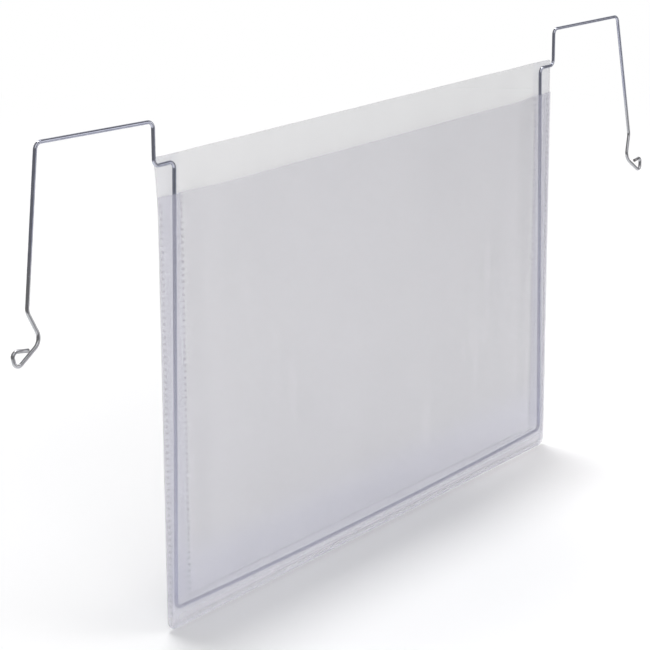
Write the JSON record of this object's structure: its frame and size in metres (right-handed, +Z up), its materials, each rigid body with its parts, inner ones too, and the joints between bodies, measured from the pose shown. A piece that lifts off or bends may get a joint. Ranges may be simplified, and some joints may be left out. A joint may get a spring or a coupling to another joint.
{
  "type": "hanging document pocket",
  "caption": "Clear landscape document pocket of two welded films round a bent wire frame whose two open hooks reach out sideways.",
  "frame": {"origin": "midway between the two hooks, at the height where the undersides of their arms rest on a rail, in the plane of the wire frame", "axes": "+X to the right seen from the front, +Y to the back, +Z up"},
  "size_m": [0.5212, 0.0207, 0.2394],
  "materials": {
    "plated_wire": "bright zinc plated drawn wire",
    "back_film": "clear film, soft gloss",
    "front_film": "clear film, soft gloss"
  },
  "bodies": {
    "hanger": {"wire_frame": "plated_wire"},
    "pocket": {"back_film": "back_film", "front_film": "front_film"}
  },
  "joints": [
    {"name": "pocket_lift", "type": "slide", "parent": "hanger", "child": "pocket", "axis": [0, 0, 1], "range_m": [0, 0.002]}
  ]
}
